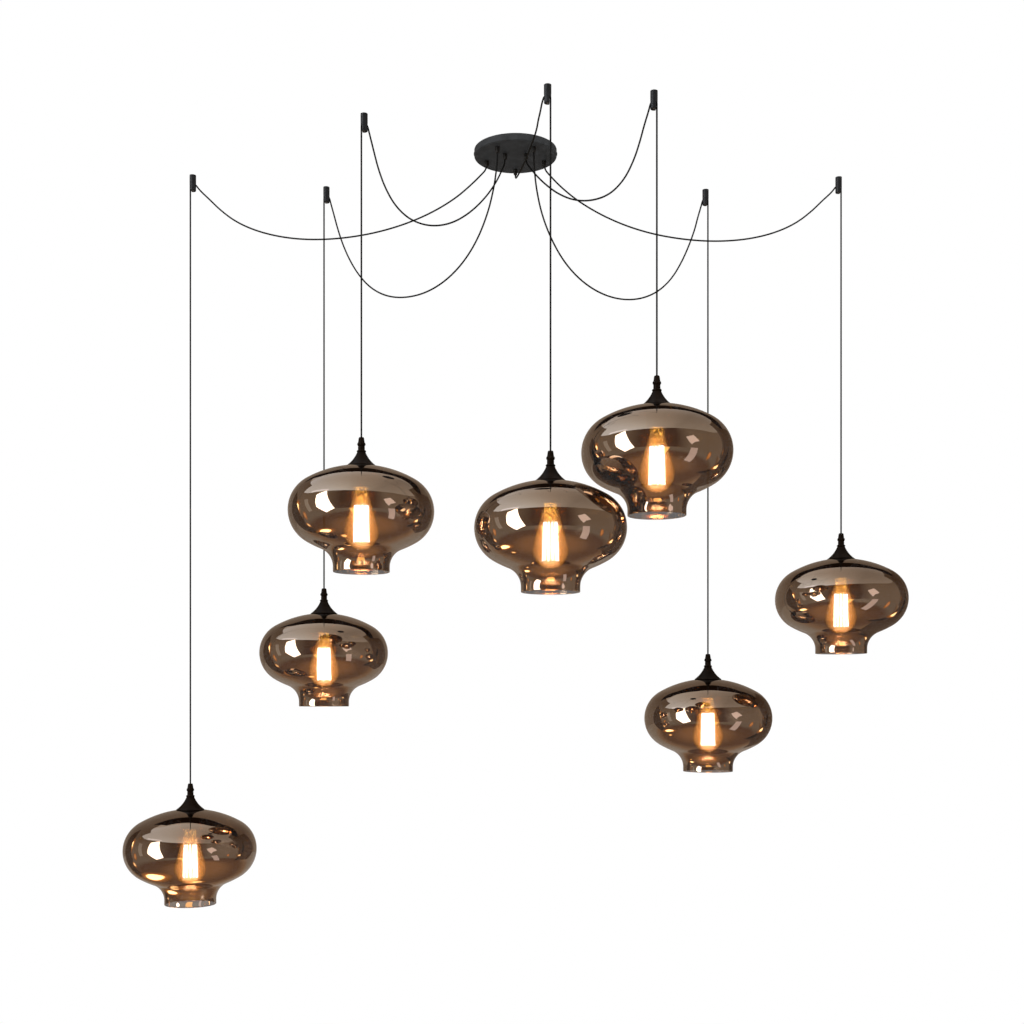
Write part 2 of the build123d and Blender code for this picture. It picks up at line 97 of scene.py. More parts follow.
# gland and hook on the ceiling, side of the hook where the cord hangs, place beside the barrel where the cord
# comes up, swag length, and route as distance from the gland, height and any step aside
swagRoutes = [
    {
        "gland": onRing(162), "hook": (-0.656, 0.121), "out": -1, "beside": (0.0136, -0.03),
        "swagLength": 0.701,
        "route": [
            (0, -0.028), (0.011, -0.039), (0.032, -0.058), (0.063, -0.082), (0.108, -0.106),
            (0.16, -0.125), (0.215, -0.138), (0.27, -0.145), (0.325, -0.147), (0.38, -0.1435),
            (0.431, -0.134), (0.478, -0.119), (0.518, -0.099), (0.55, -0.074), (0.574, -0.05),
        ],
    },
    {
        "gland": onRing(234), "hook": (-0.393, 0.183), "out": -1, "beside": (0.0097, -0.036),
        "swagLength": 0.728,
        "route": [
            (0, -0.03), (0.0015, -0.052), (0.008, -0.09), (0.022, -0.135), (0.046, -0.181), (0.079, -0.219),
            (0.121, -0.247), (0.169, -0.2625), (0.219, -0.264), (0.266, -0.254), (0.308, -0.231),
            (0.341, -0.198), (0.367, -0.16), (0.387, -0.12), (0.4, -0.085), (0.408, -0.06),
        ],
    },
    {
        "gland": (-0.02, -0.016), "hook": (-0.276, -0.16), "out": -1, "beside": (0.0097, -0.036),
        "swagLength": 0.4864,
        "route": [
            (0, -0.029), (0.007, -0.046), (0.021, -0.074), (0.045, -0.108), (0.078, -0.142), (0.117, -0.169),
            (0.16, -0.182), (0.201, -0.178), (0.232, -0.158), (0.253, -0.128),
            (0.267, -0.095), (0.276, -0.064),
        ],
    },
    {
        "gland": onRing(90), "hook": (0.055, -0.273), "out": 1, "beside": (0.0097, -0.03),
        "swagLength": 0.3755,
        "route": [
            (0, -0.0265), (0.0032, -0.031), (0.01, -0.0336), (0.024, -0.0362), (0.052, -0.04), (0.1, -0.0442),
            (0.154, -0.0458), (0.206, -0.0448), (0.251, -0.0424), (0.288, -0.0396, -0.0031),
            (0.314, -0.0365, -0.0039),
        ],
    },
    {
        "gland": (0.02, -0.016), "hook": (0.242, -0.25), "out": 1, "beside": (0.0097, -0.036),
        "swagLength": 0.4647,
        "route": [
            (0, -0.028), (0.008, -0.0395), (0.024, -0.058), (0.052, -0.086), (0.089, -0.116), (0.132, -0.14),
            (0.178, -0.153), (0.222, -0.1535), (0.257, -0.136), (0.28, -0.107),
            (0.294, -0.078), (0.302, -0.057),
        ],
    },
    {
        "gland": onRing(306), "hook": (0.398, 0.197), "out": 1, "beside": (0.0097, -0.036),
        "swagLength": 0.7441,
        "route": [
            (0, -0.03), (0.001, -0.052), (0.006, -0.092), (0.019, -0.139), (0.043, -0.184), (0.075, -0.222),
            (0.117, -0.25), (0.166, -0.2655), (0.217, -0.2675), (0.266, -0.257), (0.31, -0.235),
            (0.346, -0.203), (0.374, -0.163), (0.396, -0.121), (0.411, -0.086), (0.419, -0.06),
        ],
    },
    {
        "gland": onRing(18), "hook": (0.66, 0.131), "out": 1, "beside": (0.0136, -0.03),
        "swagLength": 0.7082,
        "route": [
            (0, -0.028), (0.011, -0.04), (0.032, -0.06), (0.064, -0.084), (0.109, -0.108),
            (0.161, -0.1275), (0.216, -0.1405), (0.272, -0.147), (0.328, -0.1485), (0.383, -0.1445),
            (0.435, -0.135), (0.483, -0.1195), (0.524, -0.0985), (0.556, -0.073), (0.579, -0.05),
        ],
    },
]


def dress(piece, body, node):
    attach(piece, body)
    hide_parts(node)


def makeCord(name, points):
    curve = bpy.data.curves.new(name, "CURVE")
    curve.dimensions = "3D"
    curve.bevel_depth = 1.0  # times each point's own radius
    curve.bevel_resolution = 3
    curve.resolution_u = 10
    curve.use_fill_caps = True
    spline = curve.splines.new("NURBS")
    spline.points.add(len(points) - 1)
    for point, place in zip(spline.points, points):
        point.co = (*place, 1)
        point.radius = cordSettings["diameter"] / 2 * cordSettings["fullness"]
    spline.order_u = 3
    spline.use_endpoint_u = True
    cord = bpy.data.objects.new(name, curve)
    scene.collection.objects.link(cord)
    return cord


def swagPoints(light):
    gland = Vector((*light["gland"], 0))
    hook = Vector((*light["hook"], 0))
    out = Vector((light["out"], 0, 0))
    up = Vector((0, 0, 1))
    mouth = hook - out * cordSettings["levelFrom"]
    heading = (mouth - gland).normalized()
    bend = hook + out * cordSettings["hangOffset"]
    points = [gland + up * cordSettings["startHeight"]]
    for reach, height, *aside in light["route"]:
        points.append(gland + heading * reach + Vector((sum(aside), 0, height)))
    besideReach, besideHeight = light["beside"]
    points.append(hook - out * besideReach + up * besideHeight)
    points.append(mouth + up * cordSettings["hookLevel"])
    points.append(bend + up * cordSettings["hookLevel"])
    points.append(bend + up * (cordSettings["hookLevel"] - cordSettings["bendDrop"]))
    return points


def boxMiddle(node):
    low, high = (Vector(corner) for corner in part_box(node))
    return (low + high) / 2


cords = []
for number, light in enumerate(swagRoutes, 1):
    swag = makeCord(f"swagCord{number}", swagPoints(light))
    dress(swag, "ceiling_fixture", f"swag_cord_{number}")
    low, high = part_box(f"drop_cord_{number}")
    middle = boxMiddle(f"drop_cord_{number}")
    heights = (high[2], high[2] - cordSettings["straightNearHook"], low[2])
    drop = makeCord(f"dropCord{number}", [(middle.x, middle.y, height) for height in heights])
    dress(drop, f"pendant_{number}", f"drop_cord_{number}")
    cords += [swag, drop]
print("cords laid:", len(cords))


# Materials: each input of a shader node takes a value or the output of another node
noiseSpan = (0.3, 0.7)  # noise below and above these values counts as its lowest and highest


def setInputs(owner, node, inputs):
    for name, value in inputs.items():
        if isinstance(value, bpy.types.NodeSocket):
            owner.node_tree.links.new(value, node.inputs[name])
        else:
            node.inputs[name].default_value = value


def addNode(owner, kind, inputs, **choices):
    node = owner.node_tree.nodes.new("ShaderNode" + kind)
    for name, choice in choices.items():
        setattr(node, name, choice)
    setInputs(owner, node, inputs)
    return node.outputs


def newMaterial(name):
    material = bpy.data.materials.new(name)
    material.use_nodes = True
    return material


def setShader(material, inputs):
    setInputs(material, material.node_tree.nodes["Principled BSDF"], inputs)


def coordinates(owner, kind="Object"):
    return addNode(owner, "TexCoord", {})[kind]


def attributeValue(owner, name):
    return addNode(owner, "Attribute", {}, attribute_name=name)["Fac"]


def lengthOf(owner, vector):
    return addNode(owner, "VectorMath", {0: vector}, operation="LENGTH")["Value"]


def alongAxis(owner, vector, axis):
    return addNode(owner, "SeparateXYZ", {"Vector": vector})[axis]


def combine(owner, operation, first, second):
    return addNode(owner, "Math", {0: first, 1: second}, operation=operation)["Value"]


def mixShaders(owner, factor, first, second):
    return addNode(owner, "MixShader", {"Fac": factor, 1: first, 2: second})["Shader"]


def emission(owner, colour, strength):
    return addNode(owner, "Emission", {"Color": colour, "Strength": strength})["Emission"]


def objectNoise(owner, scale, detail, stretch=(1, 1, 1)):
    place = addNode(owner, "Mapping", {"Vector": coordinates(owner), "Scale": stretch})["Vector"]
    return addNode(owner, "TexNoise", {"Vector": place, "Scale": scale, "Detail": detail})["Fac"]


def ramp(owner, factor, stops):
    colours = addNode(owner, "ValToRGB", {"Fac": factor})["Color"]
    elements = colours.node.color_ramp.elements
    while len(elements) < len(stops):
        elements.new(0.5)
    for element, (position, colour) in zip(elements, stops):
        element.position = position
        element.color = (*colour, 1)
    return colours


def spread(owner, factor, low, high, span=noiseSpan, **choices):
    inputs = {"Value": factor, "From Min": span[0], "From Max": span[1], "To Min": low, "To Max": high}
    return addNode(owner, "MapRange", inputs, **choices)["Result"]


def bumped(owner, height, strength, distance):
    return addNode(owner, "Bump", {"Height": height, "Strength": strength, "Distance": distance})["Normal"]


def solidFinish(name, settings):
    # mottled colour and roughness, and a fine grain in the surface
    material = newMaterial(name)
    stretch = settings.get("stretch", (1, 1, 1))
    mottle = objectNoise(material, settings["mottleScale"], detail=3.0, stretch=stretch)
    colours = zip(noiseSpan, (settings["dark"], settings["light"]))
    grainScale, grainStrength, grainDepth = settings["grain"]
    grain = objectNoise(material, grainScale, detail=2.0, stretch=stretch)
    setShader(material, {
        "Base Color": ramp(material, mottle, list(colours)),
        "Roughness": spread(material, mottle, *settings["roughness"]),
        "Metallic": settings.get("metallic", 0.0),
        "Specular IOR Level": settings.get("specular", 0.5),
        "Normal": bumped(material, grain, grainStrength, grainDepth),
    })
    return material


solidFinishes = {  # grain as scale, strength and depth
    "canopyPaint": {
        "dark": (0.037, 0.0382, 0.04), "light": (0.055, 0.0568, 0.0594), "roughness": (0.4, 0.52),
        "mottleScale": 60, "grain": (1400, 0.02, 0.0001), "specular": 0.02,
    },
    "hookPaint": {
        "dark": (0.0082, 0.0092, 0.011), "light": (0.0145, 0.016, 0.0182), "roughness": (0.36, 0.48),
        "mottleScale": 60, "grain": (1400, 0.08, 0.0002), "specular": 0.2,
    },
    "blackenedMetal": {
        "dark": (0.006, 0.0032, 0.0018), "light": (0.0125, 0.0068, 0.0036), "roughness": (0.3, 0.42),
        "mottleScale": 90, "grain": (1600, 0.04, 0.0001), "specular": 0.03,
    },
    "zincPlate": {
        "dark": (0.5, 0.51, 0.53), "light": (0.66, 0.67, 0.7), "roughness": (0.26, 0.42), "metallic": 1.0,
        "mottleScale": 140, "grain": (900, 0.15, 0.0001), "stretch": (0.15, 1, 1),
    },
    "brassTurned": {
        "dark": (0.62, 0.43, 0.18), "light": (0.8, 0.6, 0.3), "roughness": (0.22, 0.36), "metallic": 1.0,
        "mottleScale": 160, "grain": (900, 0.1, 0.0001),
    },
    "whiteMoulding": {
        "dark": (0.74, 0.73, 0.7), "light": (0.82, 0.81, 0.78), "roughness": (0.42, 0.55),
        "mottleScale": 80, "grain": (1200, 0.1, 0.0002),
    },
    "blackMoulding": {
        "dark": (0.006, 0.006, 0.0062), "light": (0.013, 0.013, 0.0132), "roughness": (0.42, 0.54),
        "mottleScale": 110, "grain": (1300, 0.1, 0.0002), "specular": 0.2,
    },
    "cordSheath": {
        "dark": (0.005, 0.005, 0.005), "light": (0.01, 0.01, 0.0095), "roughness": (0.55, 0.68),
        "mottleScale": 25, "grain": (300, 0.02, 0.0001), "specular": 0.08,
    },
}
finishes = {name: solidFinish(name, settings) for name, settings in solidFinishes.items()}

smokedGlassSettings = {
    "domeColour": (0.27, 0.185, 0.125),
    "bellyColour": (0.4, 0.295, 0.21),
    "innerColour": (0.55, 0.4, 0.26),
    "domeCover": 0.93,  # how much of the view the mirror coat hides, more on the dome where the glass is painted darker
    "bellyCover": 0.85,
    "innerCover": 0.2,
    "roughness": (0.015, 0.035),
    "waveScale": 9,
    "waveStrength": 0.04,
    "waveDepth": 0.002,
}


def smokedGlass(name, plated):
    # glass with a thin brown mirror coat, with painted shade that makes it darker and more opaque on the dome
    # than on the belly
    settings = smokedGlassSettings
    material = newMaterial(name)
    wave = objectNoise(material, settings["waveScale"], detail=2.0)
    colour = (*settings["innerColour"], 1)
    cover = settings["innerCover"]
    if plated:
        domeToneShare = attributeValue(material, "domeTone")
        colour = ramp(material, domeToneShare, [(0.0, settings["bellyColour"]), (1.0, settings["domeColour"])])
        cover = spread(material, domeToneShare, settings["bellyCover"], settings["domeCover"], (0.0, 1.0))
    setShader(material, {
        "Base Color": colour, "Metallic": 1.0, "Alpha": cover,
        "Roughness": spread(material, wave, *settings["roughness"]),
        "Normal": bumped(material, wave, settings["waveStrength"], settings["waveDepth"]),
    })
    return material


bulbGlassSettings = {
    "colour": (1.0, 0.95, 0.87),
    "refraction": 1.45,
    "roughness": (0.12, 0.17),
    "grainScale": 160,
    "glowColour": (1.0, 0.37, 0.07),
    "bodyGlow": 0.06,
    "paintedHalos": [
        # painted glow in the bulb, a halo round the lit filaments: reach is where it starts to fall and ends,
        # in shares of the radius, and the share left; foot and head are the shares of the height over which
        # it comes in and goes out
        {"colour": (1.0, 0.37, 0.07), "glow": 150.0, "reach": (0.4, 1.0, 0.24), "foot": (-0.2, -0.1),
         "head": (0.63, 0.84), "left": 0.08},
        {"colour": (1.0, 0.78, 0.45), "glow": 430.0, "reach": (0.3, 0.56, 0.0), "foot": (0.03, 0.24),
         "head": (0.54, 0.67), "left": 0.0},
    ],
    # painted glow of the stem glass
    "stemColour": (1.0, 0.55, 0.08),
    "stemGlow": (0.1, 5.5),
    "glowFleckScale": 380,
    "glowFleckStretch": (1, 1, 0.45),
    "glowFleckSpan": (0.5, 0.64),
}


def addPaintedHalos(material):
    # painted glow inside the bulb: a wide halo and a bright core among the filaments
    place = coordinates(material, "Generated")
    centred = addNode(material, "Mapping", {"Vector": place, "Location": (-1, -1, 0), "Scale": (2, 2, 0)})
    away = lengthOf(material, centred["Vector"])
    height = alongAxis(material, place, "Z")
    lights = []
    for halo in bulbGlassSettings["paintedHalos"]:
        near, far, least = halo["reach"]
        across = spread(material, away, halo["glow"], halo["glow"] * least, (near, far))
        rise = spread(material, height, 0, 1, halo["foot"])
        fall = spread(material, height, 1, halo["left"], halo["head"])
        strength = combine(material, "MULTIPLY", across, combine(material, "MULTIPLY", rise, fall))
        lights.append(emission(material, (*halo["colour"], 1), strength))
    both = addNode(material, "AddShader", dict(enumerate(lights)))["Shader"]
    setInputs(material, material.node_tree.nodes["Material Output"], {"Volume": both})


def bulbGlass(name):
    settings = bulbGlassSettings
    material = newMaterial(name)
    grain = objectNoise(material, settings["grainScale"], detail=2.0)
    setShader(material, {
        "Base Color": (*settings["colour"], 1), "Transmission Weight": 1.0, "IOR": settings["refraction"],
        "Roughness": spread(material, grain, *settings["roughness"]),
    })
    return material


def haloGlass(name):
    settings = bulbGlassSettings
    material = bulbGlass(name)
    # painted glow in the envelope glass
    glow = {"Emission Color": (*settings["glowColour"], 1), "Emission Strength": settings["bodyGlow"]}
    setShader(material, glow)
    addPaintedHalos(material)
    return material


def stemGlowGlass(name):
    settings = bulbGlassSettings
    material = bulbGlass(name)
    # painted glow: the stem glass shines in warm flecks, standing in for the filaments' light caught in it
    glowFlecks = objectNoise(material, settings["glowFleckScale"], detail=3.0, stretch=settings["glowFleckStretch"])
    strength = spread(material, glowFlecks, *settings["stemGlow"], settings["glowFleckSpan"])
    setShader(material, {"Emission Color": (*settings["stemColour"], 1), "Emission Strength": strength})
    return material


filamentSettings = {
    "wireColour": (0.9, 0.6, 0.2),
    "roughness": 0.6,
    "colour": (1.0, 0.96, 0.92),
    "strength": (80.0, 120.0),
    "bandScale": 900,
}


def glowingFilament(name):
    settings = filamentSettings
    material = newMaterial(name)
    band = objectNoise(material, settings["bandScale"], detail=1.0)
    setShader(material, {
        "Base Color": (*settings["wireColour"], 1), "Roughness": settings["roughness"],
        "Emission Color": (*settings["colour"], 1),
        "Emission Strength": spread(material, band, *settings["strength"]),
    })
    return material


finishes["smokedGlassOuter"] = smokedGlass("smokedGlassOuter", True)
finishes["smokedGlassInner"] = smokedGlass("smokedGlassInner", False)
finishes["amberBulbGlass"] = haloGlass("amberBulbGlass")
finishes["amberInnerGlass"] = bulbGlass("amberInnerGlass")
finishes["litStemGlass"] = stemGlowGlass("litStemGlass")
finishes["glowingFilament"] = glowingFilament("glowingFilament")


def paint(piece, *names):
    for name in names:
        piece.data.materials.append(finishes[name])


for cord in cords:
    paint(cord, "cordSheath")
carriedNodes = {
    "canopy_pan": "canopyPaint",
    "canopy_screws": "canopyPaint",
    "hook_barrels": "hookPaint",
    "mounting_bar": "zincPlate",
    "gland_nuts": "zincPlate",
    "hook_bases": "zincPlate",
    "hook_clamps": "zincPlate",
    "earth_screw": "brassTurned",
    "terminal_block": "whiteMoulding",
}
for node, finish in carriedNodes.items():
    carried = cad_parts[node]
    carried.data.materials.clear()
    paint(carried, finish)
print("materials made:", len(finishes))


# Turned pieces: a half outline drawn by extruding a point, then spun round the axis
turningSettings = {
    "seedSize": 0.01,  # plane that shrinks to the outline's first point
    "samePlace": 1e-6,  # outline points this close are one
    "mergeWithin": 2e-6,
    "smoothAngle": 35,
    "fluteShare": 0.3,  # width of a flute in its pitch
    "fluteRadius": 0.95,  # share of the radius that a flute leaves
    "threadCrest": (0.35, 0.65),  # shares of the pitch between which a thread is flat
}


def arcPoints(centre, radius, fromAngle, toAngle, steps):
    angles = [radians(fromAngle + (toAngle - fromAngle) * step / steps) for step in range(steps + 1)]
    return [(centre[0] + radius * cos(angle), centre[1] + radius * sin(angle)) for angle in angles]


def bowedPoints(start, end, radius, steps):
    # an arc between two points, bowed towards the axis
    a = Vector(start)
    b = Vector(end)
    chord = b - a
    across = Vector((-chord.y, chord.x)).normalized()
    if across.x > 0:
        across = -across
    centre = (a + b) / 2 - across * sqrt(radius**2 - (chord.length / 2) ** 2)
    first = degrees(atan2(a.y - centre.y, a.x - centre.x))
    last = degrees(atan2(b.y - centre.y, b.x - centre.x))
    while last - first > 180:
        last -= 360
    while first - last > 180:
        last += 360
    return arcPoints(centre, radius, first, last, steps)


def threadedSide(radius, depth, low, high, turns):
    points = []
    pitch = (high - low) / turns
    for turn in range(turns):
        start = low + turn * pitch
        points.append((radius - depth, start))
        points += [(radius, start + share * pitch) for share in turningSettings["threadCrest"]]
    return points + [(radius - depth, high)]


def withoutRepeats(points):
    kept = [points[0]]
    for point in points[1:]:
        if (Vector(point) - Vector(kept[-1])).length > turningSettings["samePlace"]:
            kept.append(point)
    return kept


def startPoint(name, place):
    # a mesh of one selected point, left open for editing
    clearSelection()
    bpy.ops.mesh.primitive_plane_add(size=turningSettings["seedSize"], location=(0, 0, 0))
    piece = bpy.context.object
    piece.name = name
    bpy.ops.object.mode_set(mode="EDIT")
    bpy.ops.mesh.select_all(action="SELECT")
    bpy.ops.mesh.merge(type="CENTER")
    bpy.ops.transform.translate(value=place)
    return piece


def turnPiece(name, outline, sides, *finishNames, smoothAngle=turningSettings["smoothAngle"]):
    outline = withoutRepeats(outline)
    piece = startPoint(name, (outline[0][0], 0, outline[0][1]))
    for start, end in zip(outline, outline[1:]):
        step = (end[0] - start[0], 0, end[1] - start[1])
        bpy.ops.mesh.extrude_region_move(TRANSFORM_OT_translate={"value": step})
    bpy.ops.mesh.select_all(action="SELECT")
    bpy.ops.mesh.spin(steps=sides, angle=2 * pi, center=(0, 0, 0), axis=(0, 0, 1))
    bpy.ops.mesh.select_all(action="SELECT")
    bpy.ops.mesh.remove_doubles(threshold=turningSettings["mergeWithin"])
    bpy.ops.mesh.normals_make_consistent(inside=False)
    bpy.ops.object.mode_set(mode="OBJECT")
    bpy.ops.object.shade_smooth_by_angle(angle=radians(smoothAngle))
    paint(piece, *finishNames)
    return piece


def selectOnly(*pieces):
    clearSelection()
    for piece in pieces:
        piece.select_set(True)
    bpy.context.view_layer.objects.active = pieces[0]


def joinPieces(pieces):
    selectOnly(*pieces)
    bpy.ops.object.join()
    return bpy.context.object


def pullInFlutes(piece, low, high, count, beyond):
    # draws every few columns of points towards the axis, to leave flutes round a turned piece
    selectOnly(piece)
    bpy.ops.object.mode_set(mode="EDIT")
    bpy.ops.mesh.select_all(action="DESELECT")
    bpy.ops.object.mode_set(mode="OBJECT")
    for vertex in piece.data.vertices:
        place = vertex.co
        turn = (atan2(place.y, place.x) / (2 * pi) * count) % 1
        inFlute = abs(turn - 0.5) < turningSettings["fluteShare"] / 2
        vertex.select = low < place.z < high and place.xy.length > beyond and inFlute
    bpy.ops.object.mode_set(mode="EDIT")
    bpy.ops.mesh.select_mode(type="VERT")
    left = turningSettings["fluteRadius"]
    bpy.ops.transform.resize(value=(left, left, 1), center_override=(0, 0, 0))
    bpy.ops.object.mode_set(mode="OBJECT")


def copyTo(piece, name, place):
    selectOnly(piece)
    bpy.ops.object.duplicate()
    copy = bpy.context.object
    copy.name = name
    copy.location = place
    bpy.ops.object.transform_apply(location=True, rotation=True, scale=False)
    return copy


def removePiece(piece):
    mesh = piece.data
    bpy.data.objects.remove(piece)
    bpy.data.meshes.remove(mesh)


# middle of each shade's widest ring, which the turned pieces are drawn around
widestAbove = 0.1113484  # that ring, above the shade's lowest point
hangPlaces = []
for number in range(1, len(swagRoutes) + 1):
    middle = boxMiddle(f"shade_{number}")
    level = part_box(f"shade_{number}")[0][2] + widestAbove
    hangPlaces.append(Vector((middle.x, middle.y, level)))


def hangCopies(piece, name, node):
    for number, place in enumerate(hangPlaces, 1):
        copy = copyTo(piece, f"{name}{number}", place)
        dress(copy, f"pendant_{number}", f"{node}_{number}")
    removePiece(piece)
    print("hung:", name)


# Glass shade: dome, belly, lower dome, flare and neck, as an outer and an inner wall
shadeSettings = {
    "wall": 0.0025,
    "bellyArc": 0.064,
    "domeAngle": 60.0,
    "neckRadius": 0.0515,
    "flareArc": 0.036,
    "neckStraight": 0.0085,
    "neckRings": (0.35, 0.7, 1.0),  # shares of the straight neck
    "holeRadius": 0.019,
    "sides": 144,
    "domeToneFrom": 0.006,  # height above the widest ring where the painted dome shade starts
    "domeToneTo": 0.042,
}
shadeRadius = (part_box("shade_1")[1][0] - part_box("shade_1")[0][0]) / 2
bellyCentre = shadeRadius - shadeSettings["bellyArc"]
domeDrop = bellyCentre * tan(radians(shadeSettings["domeAngle"]))
domeArc = shadeSettings["bellyArc"] + bellyCentre / cos(radians(shadeSettings["domeAngle"]))
flareCentre = shadeSettings["neckRadius"] + shadeSettings["flareArc"]
flareHeight = domeDrop - sqrt((domeArc + shadeSettings["flareArc"]) ** 2 - flareCentre**2)
flareAngle = degrees(acos(flareCentre / (domeArc + shadeSettings["flareArc"])))
neckEnd = flareHeight - shadeSettings["neckStraight"]


def domeHeight(radius, depth=0.0):
    return sqrt((domeArc - depth) ** 2 - radius**2) - domeDrop


def shadeSide(depth):
    settings = shadeSettings
    dome = settings["domeAngle"]
    arc = domeArc - depth
    topAngle = degrees(acos(settings["holeRadius"] / arc))
    neck = settings["neckRadius"] - depth
    flare = settings["flareArc"] + depth
    points = arcPoints((0, -domeDrop), arc, topAngle, dome, steps=12)
    points += arcPoints((bellyCentre, 0), settings["bellyArc"] - depth, dome, -dome, steps=30)
    points += arcPoints((0, domeDrop), arc, -dome, -flareAngle, steps=6)
    points += arcPoints((flareCentre, flareHeight), flare, 180 - flareAngle, 180, steps=14)
    points += [(neck, flareHeight - settings["neckStraight"] * share) for share in settings["neckRings"]]
    return points


def makeShade():
    settings = shadeSettings
    lip = settings["wall"] / 2
    outline = shadeSide(0)
    outline += arcPoints((settings["neckRadius"] - lip, neckEnd), lip, 0, -180, steps=8)
    outline += reversed(shadeSide(settings["wall"]))
    outline.append(outline[0])
    shade = turnPiece("shade", outline, settings["sides"], "smokedGlassOuter", "smokedGlassInner")
    for face in shade.data.polygons:
        face.material_index = 1 if face.normal.dot(face.center) < 0 else 0
    # painted dome shade: a share that rises with height, read by the outer glass material
    domeTone = shade.data.attributes.new("domeTone", "FLOAT", "POINT")
    for vertex in shade.data.vertices:
        rise = (vertex.co.z - settings["domeToneFrom"]) / (settings["domeToneTo"] - settings["domeToneFrom"])
        rise = min(max(rise, 0), 1)
        domeTone.data[vertex.index].value = rise * rise * (3 - 2 * rise)
    return shade


hangCopies(makeShade(), "glassShade", "shade")


# Trumpet cap, with a rolled foot on the glass and a flat top under the cord grip
capSettings = {
    "footRadius": 0.0278,
    "topRadius": 0.008,
    "rise": 0.026,
    "arc": 0.057,
    "wall": 0.0012,
    "lip": 0.002,
    "roll": 0.0007,
    "holeRadius": 0.005,
    "sides": 96,
}
seatGap = 0.00005
capFoot = domeHeight(capSettings["footRadius"] - capSettings["lip"]) + seatGap
capTop = capFoot + capSettings["rise"]


def makeCap():
    settings = capSettings
    roll = settings["roll"]
    wall = settings["wall"]
    foot = (settings["footRadius"] - roll, capFoot + 2 * roll)
    shoulder = (settings["topRadius"], capTop - roll)
    outline = [(settings["holeRadius"], capTop)]
    outline += arcPoints((settings["topRadius"] - roll, capTop - roll), roll, 90, 0, steps=4)
    outline += bowedPoints(shoulder, foot, settings["arc"], steps=28)
    outline += arcPoints((settings["footRadius"] - roll, capFoot + roll), roll, 90, -90, steps=8)
    outline.append((settings["footRadius"] - settings["lip"], capFoot))
    innerTop = (settings["topRadius"] - wall, capTop - wall)
    outline += bowedPoints(outline[-1], innerTop, settings["arc"] + wall, steps=20)
    outline.append((settings["holeRadius"], capTop - wall))
    outline.append(outline[0])
    return turnPiece("cap", outline, settings["sides"], "blackenedMetal")


hangCopies(makeCap(), "trumpetCap", "cap")


# Cord grip: a beaded body and a fluted clamping nut with a tapered nose
gripSettings = {
    "collarRadius": 0.0085,
    "collarHeight": 0.0038,
    "waistRadius": 0.0062,
    "bodyHeight": 0.011,
    "nutRadius": 0.0076,
    "nutHeight": 0.0066,
    "nutSteps": 12,
    "nutFullness": 0.8,  # power of the swell, fuller when lower
    "noseRadius": 0.006,
    "tipRadius": 0.0044,
    "noseHeight": 0.0098,
    "boreRadius": 0.0017,
    "socketRadius": 0.005,
    "socketDepth": 0.0061,
    "edge": 0.0006,
    "groove": 0.0004,
    "flutes": 12,
    "fluteFrom": 0.0011,  # above the nut's foot
    "fluteTo": 0.0004,  # below its top
    "sides": 96,
}


def makeGrip():
    settings = gripSettings
    bead = settings["collarHeight"] / 2
    edge = settings["edge"]
    groove = settings["groove"]
    waist = settings["waistRadius"]
    joint = capTop + settings["bodyHeight"]
    nutTop = joint + settings["nutHeight"]
    tip = nutTop + settings["noseHeight"]
    bulge = settings["nutRadius"] - settings["noseRadius"]
    socketTop = capTop + settings["socketDepth"]
    outline = [(settings["socketRadius"], capTop)]
    outline += arcPoints((settings["collarRadius"] - bead, capTop + bead), bead, -90, 90, steps=12)
    outline += bowedPoints(outline[-1], (waist, capTop + settings["collarHeight"] + bead), bead * 2, steps=6)
    outline.append((waist, joint - groove))
    outline += [(waist - groove, joint - groove / 2), (waist - groove, joint + groove / 2)]
    for step in range(settings["nutSteps"] + 1):
        share = step / settings["nutSteps"]
        swell = sin(pi * share) ** settings["nutFullness"] * bulge
        outline.append((settings["noseRadius"] + swell, joint + groove + share * (nutTop - joint)))
    outline.append((settings["tipRadius"] + edge, tip - 3 * edge))
    outline += arcPoints((settings["tipRadius"] - edge, tip - edge), edge, 20, 90, steps=4)
    outline += arcPoints((settings["boreRadius"] + edge, tip - edge), edge, 90, 180, steps=4)
    outline += [(settings["boreRadius"], socketTop), (settings["socketRadius"], socketTop), outline[0]]
    grip = turnPiece("grip", outline, settings["sides"], "blackenedMetal")
    fluteLow = joint + settings["fluteFrom"]
    fluteHigh = nutTop - settings["fluteTo"]
    pullInFlutes(grip, fluteLow, fluteHigh, settings["flutes"], settings["noseRadius"])
    return grip


hangCopies(makeGrip(), "cordGrip", "cord_grip")


# Lamp holder: a threaded moulded body, its clamping ring and the threaded nipple that it hangs from
holderSettings = {
    "radius": 0.0185,
    "below": 0.036,
    "above": 0.005,
    "shoulder": 0.004,
    "bossRadius": 0.0075,
    "bossHeight": 0.006,
    "socketRadius": 0.0136,
    "socketDepth": 0.029,
    "plainFoot": 0.003,  # below the thread
    "threads": 11,
    "threadDepth": 0.0005,
    "edge": 0.0008,
    "play": 0.0001,  # round the nipple, and between the body and the ring
    "nippleRadius": 0.0049,
    "nippleBore": 0.003,
    "nippleHold": 0.008,
    "nippleGrip": 0.006,
    "nippleTurns": 22,
    "nippleThread": 0.0003,
    "nippleSides": 48,
    "nippleSmooth": 20,
    "ringRadius": 0.027,
    "ringHeight": 0.005,
    "ringFlutes": 24,
    "sides": 96,
}
holderSeat = domeHeight(holderSettings["radius"], shadeSettings["wall"])
holderLow = holderSeat - holderSettings["below"]
holderTop = holderSeat + holderSettings["above"] + holderSettings["shoulder"]
bossTop = holderTop + holderSettings["bossHeight"]


